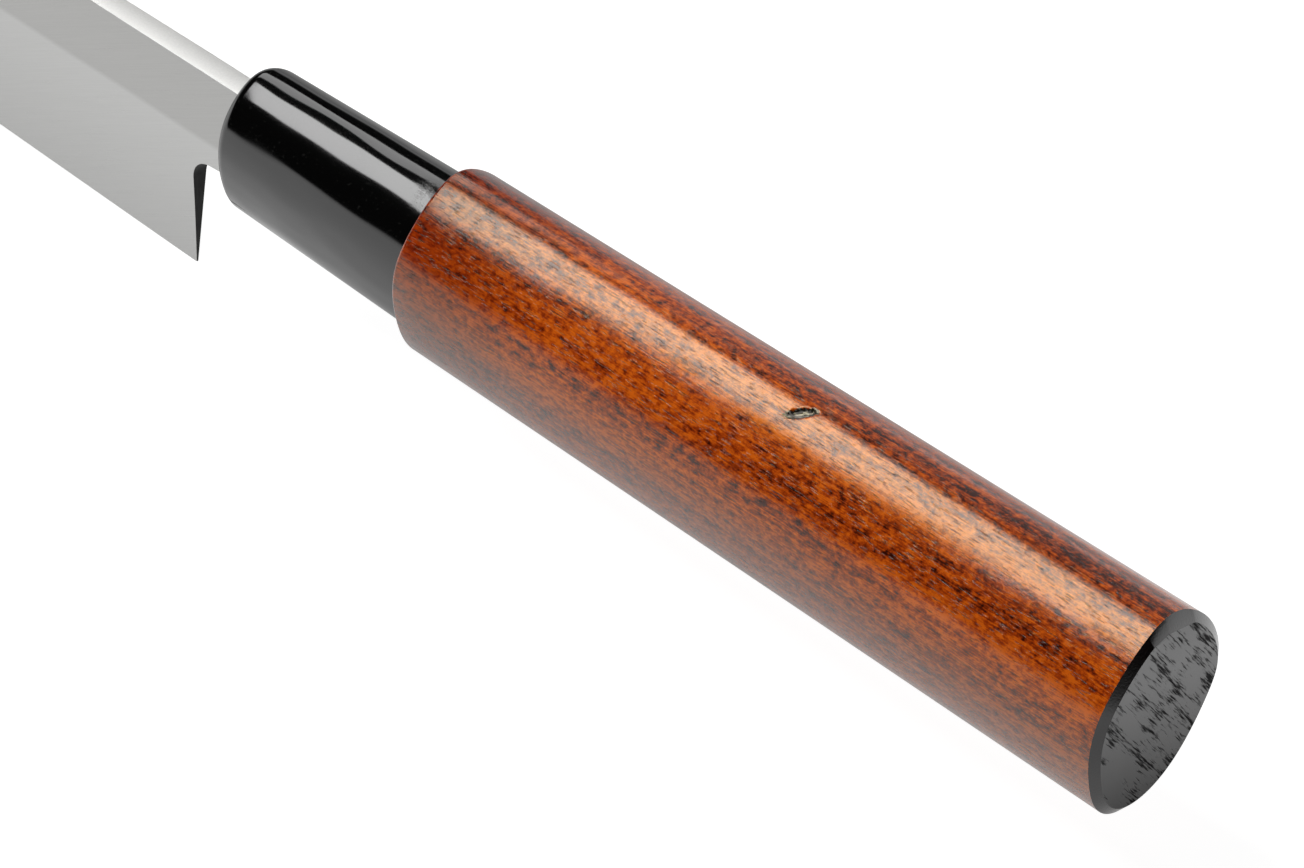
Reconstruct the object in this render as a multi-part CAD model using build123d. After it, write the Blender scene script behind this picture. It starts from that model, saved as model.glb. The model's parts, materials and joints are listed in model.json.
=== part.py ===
from build123d import *
import math
import os

# A right-handed yanagiba: a long single-bevel slicing knife with a D-section wooden handle.
# It is held as it is used, with its edge down on the board.
# x runs to the butt from the joint of ferrule and wood, y to the knife's right, z to the spine.
# All lengths are in millimetres, all angles in degrees.

# Wooden handle
handle_length = 105.0
butt_width = 21.8
butt_height = 26.0
handle_front_width = 20.4
handle_front_height = 24.4
butt_chamfer_length = 0.8
butt_chamfer_inset = 1.1
handle_front_radius = 0.5
tenon_gap = 0.15
tenon_end_gap = 0.4

# Ferrule, a hollow moulded cap
ferrule_length = 33.0
ferrule_step = 1.8
ferrule_front_width = 14.8
ferrule_front_height = 19.7
ferrule_wall = 1.8
ferrule_front_wall = 3.0
ferrule_shoulder_radius = 1.8
mouth_clearance = 0.5

# Blade: the flat back is on the left, the bevel on the right
blade_length = 240.0
heel_height = 29.0
spine_thickness = 3.5
tip_thickness = 1.5
edge_thickness = 0.25
spine_above_axis = 5.8
spine_chamfer = 0.35
bevel_line_below_spine = 9.0
back_flat_width = 10.1
hollow_depth = 0.12
hollow_overrun = 0.4
edge_rise = 6.0
tip_height = 1.0

# Neck and heel
neck_length = 9.2
neck_height = 12.6
neck_drop = 1.0
neck_relief = 0.1
neck_relief_length = 0.4
notch_radius = 3.0
heel_slant = 1.3

# Tang and its bedding in the wood
tang_thickness = 3.0
tang_front_height = 9.6
tang_end_height = 6.0
tang_depth_in_wood = 62.0
bedding_side = 1.0
bedding_edge = 1.2
bedding_end = 4.0

# How far cutting shapes run past what they cut, and the blade's left side past its flat back
cut_overrun = 1.0
back_overrun = 0.3

# The D section of the ferrule, as shares of its half width and half height, with the ridge on the right
ferrule_section_shares = [
    (0.00, 1.00), (0.53, 0.81), (0.87, 0.46), (1.03, 0.03), (0.86, -0.39), (0.55, -0.77),
    (0.00, -1.00), (-0.58, -0.83), (-0.87, -0.41), (-0.97, 0.03), (-0.88, 0.46), (-0.53, 0.83),
]

# The wood's D section, which is flatter on its upper left and has a tighter curve on top
wood_section_shares = [
    (-0.03, 1.055), (0.36, 0.93), (0.68, 0.69), (0.92, 0.39),
    (1.03, 0.04), (0.915, -0.30), (0.705, -0.615), (0.405, -0.875),
    (0.00, -1.00), (-0.415, -0.935), (-0.72, -0.686), (-0.892, -0.352),
    (-0.982, 0.00), (-0.945, 0.355), (-0.73, 0.665), (-0.42, 0.917),
]

# Places along the blade where its section is drawn, from heel to tip
station_shares = [0.0, 0.5, 0.57, 0.63, 0.69, 0.74, 0.79, 0.83, 0.87, 0.9, 0.93, 0.955, 0.975, 0.99, 1.0]
belly_start_share = 0.5
belly_power = 2.4

# Steps round the ferrule's shoulder
shoulder_turns = [0, 20, 40, 60, 80]

# Derived places
ferrule_rear_width = handle_front_width - 2 * ferrule_step
ferrule_rear_height = handle_front_height - 2 * ferrule_step
ferrule_front_x = -ferrule_length
ferrule_inner_x = ferrule_front_x + ferrule_front_wall
heel_x = ferrule_front_x - neck_length
left_face_y = -spine_thickness / 2
spine_z = spine_above_axis
heel_z = spine_z - heel_height
back_line_z = spine_z - back_flat_width


def yz_plane(x):
    """A plane square to the handle whose own x and y are the knife's y and z."""
    return Plane(origin=(x, 0, 0), x_dir=(0, 1, 0), z_dir=(1, 0, 0))


def d_section(x, width, height, section_shares=ferrule_section_shares):
    """A D section as a face."""
    points = [(y_share * width / 2, z_share * height / 2) for y_share, z_share in section_shares]
    with BuildSketch(yz_plane(x)) as sketch:
        with BuildLine():
            Spline(*points, periodic=True)
        make_face()
    return sketch.sketch.face()


def slab(x_from, x_to, y_from, y_to, z_from, z_to):
    """A rectangular block between the given places."""
    block = Box(x_to - x_from, y_to - y_from, z_to - z_from, align=(Align.MIN, Align.MIN, Align.MIN))
    return Pos(x_from, y_from, z_from) * block


def plate(outline, thickness):
    """An outline in x and z, made solid on both sides of the knife's middle plane."""
    with BuildSketch(Plane.XZ) as sketch:
        with BuildLine():
            Polyline(*outline, close=True)
        make_face()
    return extrude(sketch.sketch, amount=thickness / 2, both=True)


def thickness_at(share):
    """The blade's thickness at a share of the way from heel to tip."""
    return spine_thickness + (tip_thickness - spine_thickness) * share


def height_at(share):
    """The blade's height: nearly straight, then the belly sweeps up to the tip."""
    straight = heel_height - edge_rise * share
    belly = max(share - belly_start_share, 0) / (1 - belly_start_share)
    return tip_height + (straight - tip_height) * (1 - belly ** belly_power)


def blade_section(x, share):
    """The blade's section, with its left side left long for the flat back to be cut."""
    thickness = thickness_at(share)
    height = height_at(share)
    right_y = left_face_y + thickness
    outer_y = left_face_y - back_overrun
    edge_z = spine_z - height
    bevel_z = spine_z - bevel_line_below_spine * height / heel_height
    chamfer = spine_chamfer * height / heel_height
    points = [
        (outer_y, spine_z - chamfer - back_overrun),
        (left_face_y + chamfer, spine_z),
        (right_y - chamfer, spine_z),
        (right_y, spine_z - chamfer),
        (right_y, bevel_z),
        (left_face_y + edge_thickness, edge_z),
        (outer_y, edge_z),
    ]
    with BuildSketch(yz_plane(x)) as sketch:
        with BuildLine():
            Polyline(*points, close=True)
        make_face()
    return sketch.sketch.face()


def make_blade():
    """Blade, neck and tang: one piece of steel."""
    sections = [blade_section(heel_x - share * blade_length, share) for share in station_shares]
    front = loft(sections, ruled=True)
    back = extrude(blade_section(heel_x, 0), amount=ferrule_inner_x - heel_x)
    body = front + back

    # The flat back
    far_x = heel_x - blade_length - cut_overrun
    near_x = ferrule_inner_x + cut_overrun
    low_z = heel_z - cut_overrun
    high_z = spine_z + cut_overrun
    over_y = left_face_y - 2 * cut_overrun
    body -= slab(far_x, near_x, over_y, left_face_y, low_z, high_z)

    # The ground back stops just in front of the ferrule
    relief_x = ferrule_front_x - neck_relief_length
    body -= slab(relief_x, near_x, over_y, left_face_y + neck_relief, low_z, high_z)

    # The shallow hollow of the back, ground by a large wheel
    hollow_width = heel_height - back_flat_width + hollow_overrun
    wheel_radius = hollow_width ** 2 / (8 * hollow_depth) + hollow_depth / 2
    wheel_y = left_face_y + hollow_depth - wheel_radius
    wheel_z = back_line_z - hollow_width / 2
    wheel = Cylinder(wheel_radius, near_x - far_x, rotation=(0, 90, 0))
    body -= Pos((near_x + far_x) / 2, wheel_y, wheel_z) * wheel

    # The gap behind the heel, under the neck
    neck_front_z = spine_z - neck_height - neck_drop
    neck_back_z = spine_z - neck_height
    gap = plate(
        [
            (heel_x, neck_front_z),
            (near_x, neck_back_z),
            (near_x, low_z),
            (heel_x + heel_slant, low_z),
        ],
        4 * spine_thickness,
    )
    corner = gap.edges().filter_by(Axis.Y).sort_by(Axis.X)[0]
    body -= fillet(corner, notch_radius)

    # The tang
    middle_z = spine_z - neck_height / 2
    root_x = ferrule_inner_x - cut_overrun
    tang = plate(
        [
            (root_x, middle_z + tang_front_height / 2),
            (tang_depth_in_wood, middle_z + tang_end_height / 2),
            (tang_depth_in_wood, middle_z - tang_end_height / 2),
            (root_x, middle_z - tang_front_height / 2),
        ],
        tang_thickness,
    )
    return body + tang


def ferrule_size(x):
    """The ferrule's width and height at a place along it."""
    along = -x / ferrule_length
    width = ferrule_rear_width + (ferrule_front_width - ferrule_rear_width) * along
    height = ferrule_rear_height + (ferrule_front_height - ferrule_rear_height) * along
    return width, height


def ferrule_body():
    """The ferrule's outside as a full solid, with its rounded front shoulder."""
    shoulder_x = ferrule_front_x + ferrule_shoulder_radius
    rounds = []
    for turn in shoulder_turns:
        x = shoulder_x - ferrule_shoulder_radius * math.sin(math.radians(turn))
        inset = 2 * ferrule_shoulder_radius * (1 - math.cos(math.radians(turn)))
        width, height = ferrule_size(x)
        rounds.append(d_section(x, width - inset, height - inset))
    straight = loft(
        [
            d_section(shoulder_x, *ferrule_size(shoulder_x)),
            d_section(0, *ferrule_size(0)),
        ],
        ruled=True,
    )
    return straight + loft(rounds)


def ferrule_bore(gap, x_from, x_to):
    """The inside of the ferrule, made smaller all round by a gap."""
    inset = 2 * (ferrule_wall + gap)
    sections = []
    for x in (x_from, x_to):
        width, height = ferrule_size(x)
        sections.append(d_section(x, width - inset, height - inset))
    return loft(sections, ruled=True)


def mouth():
    """The slot in the ferrule's front wall that the neck passes through."""
    half_width = spine_thickness / 2 + mouth_clearance
    return slab(
        ferrule_front_x - cut_overrun,
        ferrule_inner_x,
        -half_width,
        half_width,
        spine_z - neck_height - mouth_clearance,
        spine_z + mouth_clearance,
    )


def tang_slot():
    """The slot in the wood that the tang is bedded in."""
    half_width = tang_thickness / 2 + bedding_side
    half_height = tang_front_height / 2 + bedding_edge
    middle_z = spine_z - neck_height / 2
    return slab(
        ferrule_inner_x + tenon_end_gap,
        tang_depth_in_wood + bedding_end,
        -half_width,
        half_width,
        middle_z - half_height,
        middle_z + half_height,
    )


def wood_section(x, width, height):
    """The wood's D section as a face."""
    return d_section(x, width, height, wood_section_shares)


def make_handle():
    """The wooden handle, with the tenon that the ferrule covers."""
    chamfer_x = handle_length - butt_chamfer_length
    face_width = butt_width - 2 * butt_chamfer_inset
    face_height = butt_height - 2 * butt_chamfer_inset
    grip = loft(
        [
            wood_section(0, handle_front_width, handle_front_height),
            wood_section(chamfer_x, butt_width, butt_height),
        ],
        ruled=True,
    )
    front_edge = grip.edges().sort_by(Axis.X)[0]
    grip = fillet(front_edge, handle_front_radius)
    butt = loft(
        [
            wood_section(chamfer_x, butt_width, butt_height),
            wood_section(handle_length, face_width, face_height),
        ],
        ruled=True,
    )
    tenon = ferrule_bore(tenon_gap, ferrule_inner_x + tenon_end_gap, cut_overrun)
    return grip + butt + tenon - tang_slot()


blade = make_blade()
solid_ferrule = ferrule_body()
mouth_block = mouth()
ferrule = solid_ferrule - ferrule_bore(0, ferrule_inner_x, cut_overrun) - mouth_block
mouth_seal = (mouth_block & solid_ferrule) - blade
handle_body = make_handle()
tang_bedding = tang_slot() - blade

pieces = {
    "blade": blade,
    "ferrule": ferrule,
    "mouth_seal": mouth_seal,
    "handle_body": handle_body,
    "tang_bedding": tang_bedding,
}

# The origin is under the middle of the knife, at the level of the edge's lowest point
reach = Compound([solid for piece in pieces.values() for solid in piece.solids()]).bounding_box()
to_origin = Pos(-reach.center().X, -reach.center().Y, -reach.min.Z)

os.makedirs("parts", exist_ok=True)
for name, piece in pieces.items():
    export_step(to_origin * piece, f"parts/{name}.step")
    print(name, "volume", round(piece.volume, 1), "solids", len(piece.solids()))
print("overall", reach.size)
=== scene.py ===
# %% [markdown]
# # A yanagiba knife
#
# This lesson dresses a measured model of a Japanese slicing knife. The knife has few pieces: a steel
# blade whose tang runs back into the handle, a moulded black ferrule, a plug of resin in the ferrule's
# mouth, and a wooden handle with the tang glued into it. Each piece is modelled by itself and gets the
# material that the real one is made of.
#
# The measured model is loaded first. It says how large everything is and where it sits, so every new
# piece is drawn in its place and is never fitted by eye.

import json
import math

import bmesh
import bpy
from mathutils import Matrix, Quaternion, Vector, noise


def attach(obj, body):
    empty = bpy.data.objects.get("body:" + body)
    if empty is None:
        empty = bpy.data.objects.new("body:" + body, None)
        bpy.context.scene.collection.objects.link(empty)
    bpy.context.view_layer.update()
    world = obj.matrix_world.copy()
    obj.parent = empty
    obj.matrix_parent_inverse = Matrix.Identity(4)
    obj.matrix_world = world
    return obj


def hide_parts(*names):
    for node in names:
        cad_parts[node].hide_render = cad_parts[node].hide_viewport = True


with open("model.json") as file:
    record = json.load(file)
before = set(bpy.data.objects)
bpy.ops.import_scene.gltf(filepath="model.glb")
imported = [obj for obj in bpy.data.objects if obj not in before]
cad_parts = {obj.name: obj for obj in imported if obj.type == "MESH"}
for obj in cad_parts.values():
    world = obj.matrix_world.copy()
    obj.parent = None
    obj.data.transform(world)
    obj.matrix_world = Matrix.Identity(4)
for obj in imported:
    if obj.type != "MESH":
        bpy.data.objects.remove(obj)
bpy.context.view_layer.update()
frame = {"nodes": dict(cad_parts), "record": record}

# %% [markdown]
# ## The knife's own axes
#
# A knife maker measures from the joint between ferrule and wood. Here x runs from that joint to the
# butt, y to the knife's right and z up to the spine, all in millimetres. The model's record gives the
# middle of the butt's flat end, and the handle is 105 mm long, so that fixes the joint.

# %% Places in the knife's own axes
MM = 0.001
HANDLE_LENGTH = 105.0
mounts = {mount["name"]: mount for mount in frame["record"]["mounts"]}
butt_middle = Vector(mounts["butt_face"]["pos_m"])
joint = butt_middle - HANDLE_LENGTH * MM * Vector(mounts["butt_face"]["axis"])


def knife(x, y, z):
    """A place in the knife's axes, in millimetres, as a place in the scene."""
    return joint + MM * Vector((x, y, z))


print("joint of ferrule and wood at", [round(value * 1000, 2) for value in joint], "mm")

# %% [markdown]
# ## The camera
#
# The picture was taken with a long lens from above and behind the butt, on the knife's left side. The
# camera stands at a place in the knife's axes and looks at a point beside the handle. It is turned a
# little about its own line of sight, because it wasn't held quite level.

# %% Set up the camera
CAMERA_PLACE = knife(298.0, -324.22, 339.08)
CAMERA_TARGET = knife(53.6, -25.72, 21.08)
CAMERA_TURN = math.radians(5.58)
LENS = 131.65

camera_data = bpy.data.cameras.new("camera")
camera_data.lens = LENS
camera_data.clip_start = 0.01
camera_data.clip_end = 30.0
camera = bpy.data.objects.new("camera", camera_data)
camera.location = CAMERA_PLACE
camera.rotation_mode = "QUATERNION"
sight = (CAMERA_TARGET - CAMERA_PLACE).to_track_quat("-Z", "Y")
camera.rotation_quaternion = sight @ Quaternion((0, 0, 1), CAMERA_TURN)
bpy.context.scene.collection.objects.link(camera)
bpy.context.scene.camera = camera
print("camera is", round((CAMERA_TARGET - CAMERA_PLACE).length, 3), "m from its target")

# %% [markdown]
# ## Floor and light
#
# The object lies in a plain photo studio: a large white table, a long softbox overhead on the camera's
# side, a weaker one behind it, a wide dim wall on the far side, and otherwise a dark room. Glossy black
# plastic shows such a room as bright bands with black between them, and that is how it tells us its
# shape. The dark room is pale only near the horizon.
#
# The table glows to the camera and in reflections, so that it stays white while the lamps stay at a
# plain level. The rest of its brightness is real light, so it keeps the knife's shadow. In reflections
# the glow carries painted shade: it is darker on the far side of the knife, beside the ferrule and blade,
# and beyond the butt, and it holds a painted shadow of the handle below the handle. The room behind the
# table is white to the camera too. It stays dark in reflections and gives little light.

# %% Brightness of the table
# Lengths are metres from the middle of the knife, x to the butt and y to the right. A glow of 1 is white.
TABLE_SIZE = 9.0
TABLE_GLOW = 0.95
TABLE_WHITE = 0.32

# In reflections the glow has painted shade: it falls to a share of itself on the far side, as y grows,
# but only ahead of the butt, and beyond the butt, as x grows.
FAR_SHARE = 0.2
FAR_FROM = -0.02
FAR_TO = 0.04
AHEAD_FROM = 0.2
AHEAD_TO = 0.12
BEYOND_FROM = 0.3
BEYOND_TO = 0.5

# In reflections the table below the handle has a painted shadow: full near a y of 0, less to both sides, and
# only behind an x.
UNDER_SHARE = 0.55
UNDER_FROM = 0.036
UNDER_TO = 0.004
UNDER_START = 0.05
UNDER_FULL = 0.08
print("the table is", TABLE_SIZE, "m wide")


# %% Helpers that turn a colour linear and add a shader node
def linear(hex_colour):
    """An sRGB colour written as hex, as the linear numbers that shaders use."""
    parts = [int(hex_colour[i:i + 2], 16) / 255 for i in (1, 3, 5)]
    return [part / 12.92 if part <= 0.04045 else ((part + 0.055) / 1.055) ** 2.4 for part in parts] + [1.0]


def add(tree, kind, inputs=None, stops=None, **settings):
    """Adds one shader node with its settings, its ramp's stops and what goes into its sockets."""
    made = tree.nodes.new(kind)
    for name, value in settings.items():
        setattr(made, name, value)
    for name, value in (inputs or {}).items():
        if isinstance(value, bpy.types.NodeSocket):
            tree.links.new(value, made.inputs[name])
        else:
            made.inputs[name].default_value = value
    if stops:
        elements = made.color_ramp.elements
        while len(elements) < len(stops):
            elements.new(0.5)
        for element, (place, colour) in zip(elements, stops):
            element.position = place
            element.color = linear(colour) if isinstance(colour, str) else [colour] * 3 + [1.0]
    return made


def new_material(name):
    """An empty material with its node tree and output."""
    material = bpy.data.materials.new(name)
    material.use_nodes = True
    tree = material.node_tree
    tree.nodes.clear()
    return material, tree, tree.nodes.new("ShaderNodeOutputMaterial")


# %% Lay the white table
table_material, tree, output = new_material("white studio table")
rays = add(tree, "ShaderNodeLightPath").outputs
mirrored = add(tree, "ShaderNodeMath", {0: rays["Is Glossy Ray"], 1: rays["Is Transmission Ray"]},
               operation="MAXIMUM")
place = add(tree, "ShaderNodeSeparateXYZ", {0: add(tree, "ShaderNodeTexCoord").outputs["Object"]}).outputs
aside = add(tree, "ShaderNodeMath", {0: place["Y"]}, operation="ABSOLUTE").outputs[0]
fades = []
for distance, start, full in (
    (place["Y"], FAR_FROM, FAR_TO),
    (place["X"], AHEAD_FROM, AHEAD_TO),
    (place["X"], BEYOND_FROM, BEYOND_TO),
    (aside, UNDER_FROM, UNDER_TO),
    (place["X"], UNDER_START, UNDER_FULL),
):
    fade = add(tree, "ShaderNodeMapRange", {"Value": distance, "From Min": start, "From Max": full})
    fades.append(fade.outputs[0])
far, ahead, beyond, close, behind = fades
# Painted shade in the glow that reflections see: darker on the far side and beyond the butt, and a painted
# shadow below the handle.
beside = add(tree, "ShaderNodeMath", {0: far, 1: ahead}, operation="MULTIPLY").outputs[0]
darker = add(tree, "ShaderNodeMath", {0: beside, 1: beyond}, operation="MAXIMUM").outputs[0]
painted_handle_shadow = add(tree, "ShaderNodeMath", {0: close, 1: behind}, operation="MULTIPLY").outputs[0]
for fade, share in ((darker, FAR_SHARE), (painted_handle_shadow, UNDER_SHARE)):
    left = add(tree, "ShaderNodeMapRange", {"Value": fade, "To Min": 1.0, "To Max": share}).outputs[0]
    mirrored = add(tree, "ShaderNodeMath", {0: mirrored.outputs[0], 1: left}, operation="MULTIPLY")
seen = add(tree, "ShaderNodeMath", {0: rays["Is Camera Ray"], 1: mirrored.outputs[0]}, operation="MAXIMUM")
glow = add(tree, "ShaderNodeMath", {0: seen.outputs[0], 1: TABLE_GLOW}, operation="MULTIPLY")
table_shader = add(tree, "ShaderNodeBsdfPrincipled", {
    "Base Color": [TABLE_WHITE] * 3 + [1.0],
    "Roughness": 1.0,
    "Specular IOR Level": 0.0,
    "Emission Color": [1.0] * 4,
    "Emission Strength": glow.outputs[0],
})
tree.links.new(table_shader.outputs[0], output.inputs[0])

table_mesh = bpy.data.meshes.new("studio_table")
mesh_edit = bmesh.new()
bmesh.ops.create_grid(mesh_edit, x_segments=1, y_segments=1, size=TABLE_SIZE / 2)
mesh_edit.to_mesh(table_mesh)
mesh_edit.free()
table_mesh.materials.append(table_material)
studio_table = bpy.data.objects.new("studio_table", table_mesh)
bpy.context.scene.collection.objects.link(studio_table)
print("laid", studio_table.name)

# %% Hang the softboxes
# Each box: its name, its angle from the left round to the top, how wide it looks in degrees, its
# distance and length in metres, how far it leans to the tip as a share of its distance, and its
# radiance, which is how bright it looks.
SOFTBOXES = [
    ("overhead_softbox", 71.0, 34.0, 0.86, 0.62, 0.56, 6.9),
    ("rear_softbox", 120.5, 28.0, 0.90, 0.54, 0.96, 2.5),
    ("rear_wall", 142.0, 74.0, 0.90, 0.46, 0.40, 0.45),
]

lit_place = knife(HANDLE_LENGTH / 3, 0, 0)
along_knife = Vector((1, 0, 0))
for name, turn, spread, distance, length, lean, radiance in SOFTBOXES:
    outward = Vector((0, -math.cos(math.radians(turn)), math.sin(math.radians(turn))))
    width = 2 * distance * math.tan(math.radians(spread / 2))
    lamp = bpy.data.lights.new(name, "AREA")
    lamp.shape = "RECTANGLE"
    lamp.size = length
    lamp.size_y = width
    lamp.energy = radiance * math.pi * length * width
    softbox = bpy.data.objects.new(name, lamp)
    softbox.location = lit_place + distance * (outward - lean * along_knife)
    softbox.rotation_mode = "QUATERNION"
    softbox_axes = Matrix((along_knife, outward.cross(along_knife), outward)).transposed()
    softbox.rotation_quaternion = softbox_axes.to_quaternion()
    bpy.context.scene.collection.objects.link(softbox)
    print(name, round(lamp.energy, 1), "W,", round(width, 2), "m wide")

# %% Darken the room above a pale horizon
# The horizon is a little higher on the knife's right, so height is measured square to a tilted plane.
# It dims to the right and towards the butt. The limits are parts of a direction of length 1.
HORIZON_SQUARE = (0.0, -0.083, 1.0)
HORIZON_HEIGHT = 0.093
HORIZON_SOFTNESS = 0.03
HORIZON_GLOW = 1.2
FAR_GLOW = 0.5
RIGHT_FROM = -0.1
RIGHT_TO = 0.2
BUTTWARD_FROM = 0.5
BUTTWARD_TO = 0.8
BUTTWARD_SHARE = 0.1
ROOM_DARK = 0.01

room = bpy.data.worlds.new("studio_room")
room.use_nodes = True
tree = room.node_tree
tree.nodes.clear()
direction = add(tree, "ShaderNodeTexCoord").outputs["Generated"]
height = add(tree, "ShaderNodeVectorMath", {0: direction, 1: HORIZON_SQUARE}, operation="DOT_PRODUCT")
sideways = add(tree, "ShaderNodeSeparateXYZ", {0: direction}).outputs
horizon = add(tree, "ShaderNodeMapRange", {
    "Value": sideways["Y"],
    "From Min": RIGHT_FROM,
    "From Max": RIGHT_TO,
    "To Min": HORIZON_GLOW,
    "To Max": FAR_GLOW,
})
dimming = add(tree, "ShaderNodeMapRange", {
    "Value": sideways["X"],
    "From Min": BUTTWARD_FROM,
    "From Max": BUTTWARD_TO,
    "To Min": 1.0,
    "To Max": BUTTWARD_SHARE,
})
horizon = add(tree, "ShaderNodeMath", {0: horizon.outputs[0], 1: dimming.outputs[0]}, operation="MULTIPLY")
walls = add(tree, "ShaderNodeMapRange", {
    "Value": height.outputs["Value"],
    "From Min": HORIZON_HEIGHT - HORIZON_SOFTNESS,
    "From Max": HORIZON_HEIGHT + HORIZON_SOFTNESS,
    "To Min": horizon.outputs[0],
    "To Max": ROOM_DARK,
})
seen = add(tree, "ShaderNodeLightPath").outputs["Is Camera Ray"]
walls = add(tree, "ShaderNodeMath", {0: walls.outputs[0], 1: seen}, operation="MAXIMUM")
background = add(tree, "ShaderNodeBackground", {"Color": [1.0] * 4, "Strength": walls.outputs[0]})
room_output = add(tree, "ShaderNodeOutputWorld")
tree.links.new(background.outputs[0], room_output.inputs[0])
bpy.context.scene.world = room
bpy.context.scene.view_settings.view_transform = "Standard"
print("the room is", room.name)

# %% [markdown]
# ## The D section
#
# The handle's section is an oval with a ridge on the right, which the fingers of a right hand close
# round, so makers call it a D handle. The ferrule is moulded in a simple oval D. The wood is planed by
# hand, so its upper left is flatter and its top is tighter. Each section is given by points, as shares
# of the half width and half height. A smooth closed curve runs through them: a cubic B-spline whose
# control points are pushed out, round after round, until the curve passes through the points. Its
# curvature has no jumps, so reflections run along it without kinks.

# %% Work out the two D sections
FERRULE_SECTION = [
    (0.00, 1.00), (0.53, 0.81), (0.87, 0.46), (1.03, 0.03), (0.86, -0.39), (0.55, -0.77),
    (0.00, -1.00), (-0.58, -0.83), (-0.87, -0.41), (-0.97, 0.03), (-0.88, 0.46), (-0.53, 0.83),
]
WOOD_SECTION = [
    (-0.03, 1.055), (0.36, 0.93), (0.68, 0.69), (0.92, 0.39),
    (1.03, 0.04), (0.915, -0.30), (0.705, -0.615), (0.405, -0.875),
    (0.00, -1.00), (-0.415, -0.935), (-0.72, -0.686), (-0.892, -0.352),
    (-0.982, 0.00), (-0.945, 0.355), (-0.73, 0.665), (-0.42, 0.917),
]
RING_POINTS = 432
PUSHING_ROUNDS = 40


def smooth_ring(shares):
    """Evenly spread points on the smooth closed curve through the shares."""
    goals = [Vector(share) for share in shares]
    controls = [goal.copy() for goal in goals]
    count = len(goals)
    for _ in range(PUSHING_ROUNDS):
        reached = [
            (controls[i - 1] + 4 * controls[i] + controls[(i + 1) % count]) / 6 for i in range(count)]
        controls = [control + goal - point for control, goal, point in zip(controls, goals, reached)]
    steps = RING_POINTS // count
    ring = []
    for i in range(count):
        before, here, after, beyond = (controls[(i + k) % count] for k in (-1, 0, 1, 2))
        for step in range(steps):
            t = step / steps
            ring.append((
                before * (1 - t) ** 3
                + here * (3 * t ** 3 - 6 * t ** 2 + 4)
                + after * (-3 * t ** 3 + 3 * t ** 2 + 3 * t + 1)
                + beyond * t ** 3
            ) / 6)
    return ring


ferrule_ring = smooth_ring(FERRULE_SECTION)
wood_ring = smooth_ring(WOOD_SECTION)
print("the D sections have", len(ferrule_ring), "and", len(wood_ring), "points")

# %% [markdown]
# Every long piece of this knife is such a ring, drawn along the knife and changed on the way. One helper
# does it: it joins the first ring's points with edges, closes them with a face, then extrudes the ring
# from section to section and closes the far end.

# %% Helpers that draw a solid through sections and cut one solid out of another
def solid_through(sections):
    """A closed solid through rings of points that all have the same number of points."""
    edit = bmesh.new()
    corners = [edit.verts.new(point) for point in sections[0]]
    ring = [edit.edges.new((corners[i - 1], corners[i])) for i in range(len(corners))]
    bmesh.ops.edgeloop_fill(edit, edges=ring)
    for section in sections[1:]:
        grown = bmesh.ops.extrude_edge_only(edit, edges=ring)["geom"]
        far = {item for item in grown if isinstance(item, bmesh.types.BMVert)}
        corners = [
            next(edge.other_vert(corner) for edge in corner.link_edges if edge.other_vert(corner) in far)
            for corner in corners]
        for corner, point in zip(corners, section):
            corner.co = point
        ring = [item for item in grown if isinstance(item, bmesh.types.BMEdge) and far.issuperset(item.verts)]
    bmesh.ops.edgeloop_fill(edit, edges=ring)
    bmesh.ops.recalc_face_normals(edit, faces=edit.faces)
    return edit


def d_section(x, size, ring):
    """A D section's ring of points at a place along the knife."""
    width, height = size
    return [knife(x, share.x * width / 2, share.y * height / 2) for share in ring]


def block(x_from, x_to, y_from, y_to, z_from, z_to):
    """A rectangular block between places in the knife's axes."""
    edit = bmesh.new()
    bmesh.ops.create_cube(edit, size=MM)
    bmesh.ops.scale(edit, vec=(x_to - x_from, y_to - y_from, z_to - z_from), verts=edit.verts)
    middle = knife((x_from + x_to) / 2, (y_from + y_to) / 2, (z_from + z_to) / 2)
    bmesh.ops.translate(edit, vec=middle, verts=edit.verts)
    return edit


def cut_away(edit, cutter):
    """The first solid without the second, cut by a Boolean modifier that is then made real."""
    pair = []
    for part in (edit, cutter):
        mesh = bpy.data.meshes.new("cutting")
        part.to_mesh(mesh)
        part.free()
        pair.append(bpy.data.objects.new("cutting", mesh))
        bpy.context.scene.collection.objects.link(pair[-1])
    cut = pair[0].modifiers.new("cut", "BOOLEAN")
    cut.object = pair[1]
    cut.operation = "DIFFERENCE"
    cut.solver = "EXACT"
    result = bmesh.new()
    result.from_object(pair[0], bpy.context.evaluated_depsgraph_get())
    for helper in pair:
        mesh = helper.data
        bpy.data.objects.remove(helper)
        bpy.data.meshes.remove(mesh)
    return result


def finish_piece(name, edit, replaced, sharp_degrees, materials):
    """Makes a mesh in the making into a piece of the knife that stands for a measured one."""
    mesh = bpy.data.meshes.new(name)
    edit.to_mesh(mesh)
    edit.free()
    mesh.shade_smooth()
    mesh.set_sharp_from_angle(angle=math.radians(sharp_degrees))
    for material in materials:
        mesh.materials.append(material)
    piece = bpy.data.objects.new(name, mesh)
    bpy.context.scene.collection.objects.link(piece)
    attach(piece, "root")
    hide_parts(replaced)
    print(name, "has", sum(len(face.vertices) - 2 for face in mesh.polygons), "triangles")
    return piece


# %% [markdown]
# ## Stained wood
#
# The handle is a pale, fine-pored wood that was stained red-brown and sealed with a clear satin lacquer.
# The stain sinks unevenly into the fibres. That gives four things to the eye: wide lengthwise bands of
# lighter and darker stain, soft mottles a millimetre long in rows, fibres as fine as hairs, and short
# dark dashes where the pores took up more of it. The stain is darker and redder near the ferrule. The
# fibres shine golden by themselves. The lacquer is a clear coat over all this, and it is slightly uneven,
# so reflections in it have soft, wandering edges.

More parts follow.
